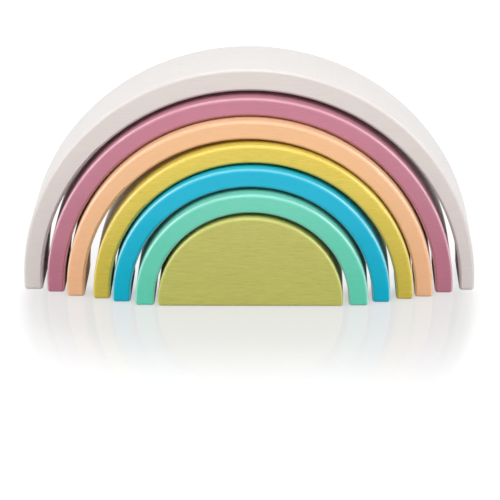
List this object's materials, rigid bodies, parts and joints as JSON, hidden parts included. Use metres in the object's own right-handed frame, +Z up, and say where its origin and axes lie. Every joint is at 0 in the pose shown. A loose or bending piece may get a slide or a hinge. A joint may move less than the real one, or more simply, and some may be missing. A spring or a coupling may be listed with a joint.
{
  "type": "rainbow stacker",
  "caption": "Wooden rainbow stacker: loose rounded arches in pastel stains, nested one inside the next over a solid half-disc, to slide apart, stack and balance.",
  "frame": {"origin": "centre of the nest's footprint, on the floor that the pieces stand on", "axes": "+X across the rainbow to its right foot seen from the front, +Y to its back, +Z up"},
  "size_m": [0.3, 0.0738, 0.1561],
  "materials": {
    "green_stain": "satin stain over sanded wood",
    "mint_stain": "satin stain over sanded wood",
    "blue_stain": "satin stain over sanded wood",
    "yellow_stain": "satin stain over sanded wood",
    "peach_stain": "satin stain over sanded wood",
    "mauve_stain": "satin stain over sanded wood",
    "grey_stain": "satin stain over sanded wood"
  },
  "bodies": {
    "core": {"green_core": "green_stain"},
    "mint": {"mint_arch": "mint_stain"},
    "blue": {"blue_arch": "blue_stain"},
    "yellow": {"yellow_arch": "yellow_stain"},
    "peach": {"peach_arch": "peach_stain"},
    "mauve": {"mauve_arch": "mauve_stain"},
    "grey": {"grey_arch": "grey_stain"}
  },
  "joints": [
    {"name": "mint_slide", "type": "slide", "parent": "core", "child": "mint", "axis": [0, -1, 0], "range_m": [-0.1, 0.1]},
    {"name": "blue_slide", "type": "slide", "parent": "core", "child": "blue", "axis": [0, -1, 0], "range_m": [-0.1, 0.1]},
    {"name": "yellow_slide", "type": "slide", "parent": "core", "child": "yellow", "axis": [0, -1, 0], "range_m": [-0.1, 0.1]},
    {"name": "peach_slide", "type": "slide", "parent": "core", "child": "peach", "axis": [0, -1, 0], "range_m": [-0.1, 0.1]},
    {"name": "mauve_slide", "type": "slide", "parent": "core", "child": "mauve", "axis": [0, -1, 0], "range_m": [-0.1, 0.1]},
    {"name": "grey_slide", "type": "slide", "parent": "core", "child": "grey", "axis": [0, -1, 0], "range_m": [-0.1, 0.1]}
  ]
}
